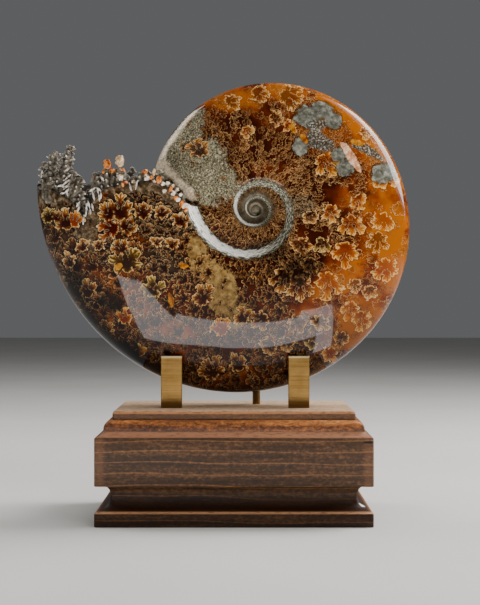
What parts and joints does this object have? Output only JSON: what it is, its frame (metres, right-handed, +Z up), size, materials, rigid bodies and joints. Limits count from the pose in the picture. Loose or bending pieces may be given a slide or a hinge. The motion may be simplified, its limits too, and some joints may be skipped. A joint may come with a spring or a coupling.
{
  "type": "ammonite fossil on display stand",
  "caption": "Polished cleoniceras ammonite with a broken frilly end, held upright by brass prongs and a rear rod on a moulded wooden plinth.",
  "frame": {"origin": "centre of the plinth's flat underside, on the surface that it stands on", "axes": "+Z up, the polished flank of the shell and the two flat prongs face -Y, the broken end of the shell is towards -X"},
  "size_m": [0.2296, 0.0996, 0.2659],
  "materials": {
    "polished_fossil": "polished calcite with cream suture lines, glossy",
    "stained_wood": "brown stain, satin",
    "satin_brass": "fine brushed satin"
  },
  "bodies": {
    "root": {"ammonite_shell": "polished_fossil", "wood_plinth": "stained_wood", "brass_prong_left": "satin_brass", "brass_prong_right": "satin_brass", "brass_rear_rod": "satin_brass"}
  },
  "joints": []
}
